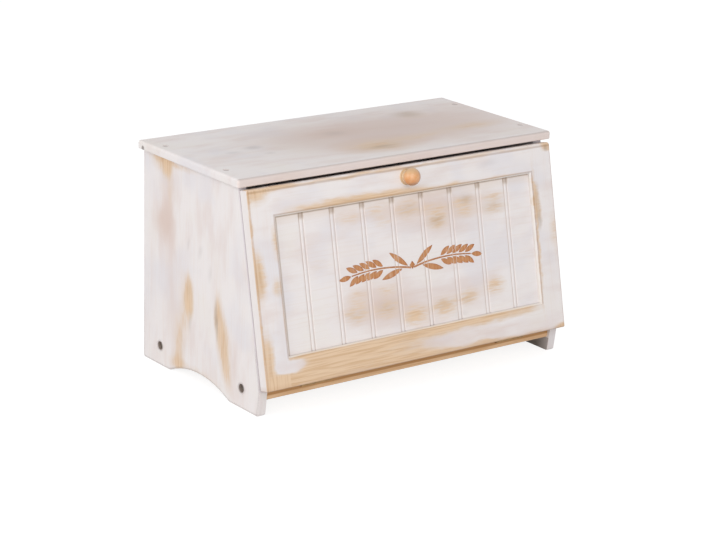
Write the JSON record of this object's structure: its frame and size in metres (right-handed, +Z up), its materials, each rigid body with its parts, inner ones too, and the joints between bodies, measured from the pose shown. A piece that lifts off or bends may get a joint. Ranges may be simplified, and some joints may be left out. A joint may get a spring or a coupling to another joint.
{
  "type": "bread box",
  "caption": "Slant-front wooden bread box with a drop-down beadboard door on bottom hinges, a turned knob, an overhanging top and arched feet.",
  "frame": {"origin": "on the counter, under the middle of the box that bounds the part with its door shut", "axes": "+X to the right of someone facing the door, +Y to the back, +Z up"},
  "size_m": [0.413, 0.2414, 0.244],
  "materials": {
    "whitewashed_wood": "thin white paint over pine, rubbed through at edges, matt",
    "natural_wood": "bare golden pine with a clear matt coat",
    "knob_wood": "turned beech with a clear gloss varnish",
    "brass": "dull plated",
    "steel": "zinc plated"
  },
  "bodies": {
    "cabinet": {"left_side_panel": "whitewashed_wood", "right_side_panel": "whitewashed_wood", "bottom_board": "natural_wood", "top_board": "whitewashed_wood", "back_panel": "whitewashed_wood", "back_panel_brads": "steel", "bottom_board_screws": "steel", "top_board_screws": "steel", "top_board_plugs": "whitewashed_wood", "hinge_board_screws": "brass", "left_hinge_fixed_leaf": "brass", "left_hinge_pin": "brass", "right_hinge_fixed_leaf": "brass", "right_hinge_pin": "brass"},
    "door": {"door_left_stile": "whitewashed_wood", "door_right_stile": "whitewashed_wood", "door_top_rail": "whitewashed_wood", "door_bottom_rail": "whitewashed_wood", "door_bead_panel": "whitewashed_wood", "door_knob": "knob_wood", "knob_screw": "steel", "hinge_door_screws": "brass", "left_hinge_moving_leaf": "brass", "right_hinge_moving_leaf": "brass"}
  },
  "joints": [
    {"name": "door_hinge", "type": "hinge", "parent": "cabinet", "child": "door", "pos_m": [0, -0.10681, 0.0266], "axis": [1, 0, 0], "range_deg": [0, 99]}
  ]
}
